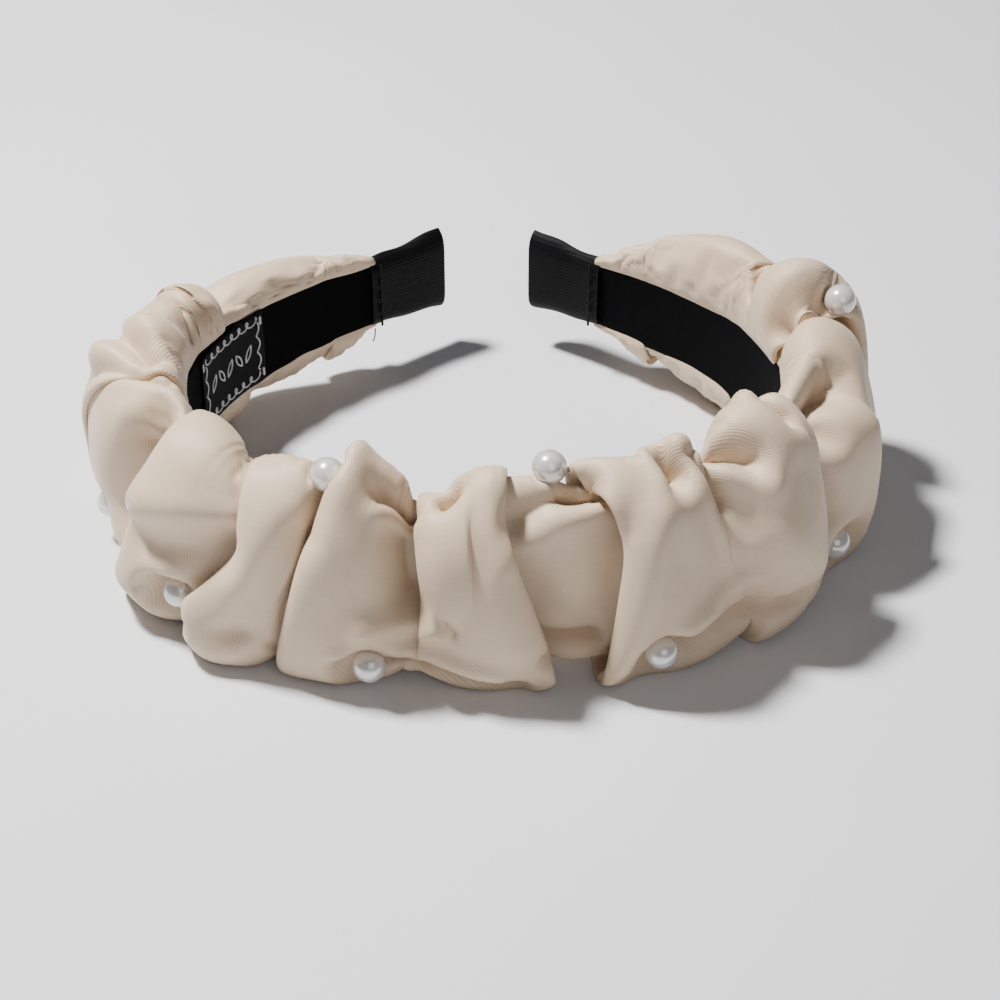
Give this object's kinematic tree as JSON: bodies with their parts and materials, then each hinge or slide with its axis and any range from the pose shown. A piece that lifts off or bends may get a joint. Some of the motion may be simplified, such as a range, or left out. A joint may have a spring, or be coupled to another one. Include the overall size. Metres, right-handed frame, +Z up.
{
  "type": "headband",
  "caption": "Springy C-shaped headband with a padded, ruched satin cover, riveted pearls, black lining, woven label and ribbon-sleeved ends.",
  "frame": {"origin": "on the surface that the headband lies on, below the middle of its bounding box", "axes": "+X to the wearer's side along the headband's full width, +Z up across the band, crown towards -Y and the two tips towards +Y"},
  "size_m": [0.1711, 0.1348, 0.0499],
  "materials": {
    "hoop_core": "moulded",
    "wadding": "lofted polyester wadding",
    "satin": "champagne satin with a fine twill",
    "lining": "black satin ribbon",
    "ribbon": "black ribbed grosgrain",
    "black_thread": "black sewing thread",
    "label": "woven damask with a silver border",
    "label_thread": "silver-grey thread",
    "pearl": "pearlescent coat",
    "rivet": "polished",
    "thread": "champagne sewing thread"
  },
  "bodies": {
    "crown": {"core_crown": "hoop_core", "wadding_crown": "wadding", "cover_crown": "satin", "lining_crown": "lining", "pearl_04": "pearl", "pearl_05": "pearl", "pearl_06": "pearl", "pearl_07": "pearl", "pearl_08": "pearl", "rivets_crown": "rivet", "tacks_crown": "thread"},
    "arm_left": {"core_left": "hoop_core", "wadding_left": "wadding", "cover_left": "satin", "lining_left": "lining", "sleeve_left": "ribbon", "sleeve_stitches_left": "black_thread", "label": "label", "label_stitches": "label_thread", "pearl_01": "pearl", "pearl_02": "pearl", "pearl_03": "pearl", "rivets_left": "rivet", "tacks_left": "thread"},
    "arm_right": {"core_right": "hoop_core", "wadding_right": "wadding", "cover_right": "satin", "lining_right": "lining", "sleeve_right": "ribbon", "sleeve_stitches_right": "black_thread", "pearl_09": "pearl", "pearl_10": "pearl", "pearl_11": "pearl", "pearl_12": "pearl", "rivets_right": "rivet", "tacks_right": "thread"}
  },
  "joints": [
    {"name": "flex_left", "type": "hinge", "parent": "crown", "child": "arm_left", "pos_m": [-0.05722, -0.029, 0.022], "axis": [0, 0, 1], "range_deg": [-5, 18], "stiffness_Nm_per_rad": 0.57},
    {"name": "flex_right", "type": "hinge", "parent": "crown", "child": "arm_right", "pos_m": [0.05722, -0.029, 0.022], "axis": [0, 0, -1], "range_deg": [-5, 18], "stiffness_Nm_per_rad": 0.57}
  ]
}
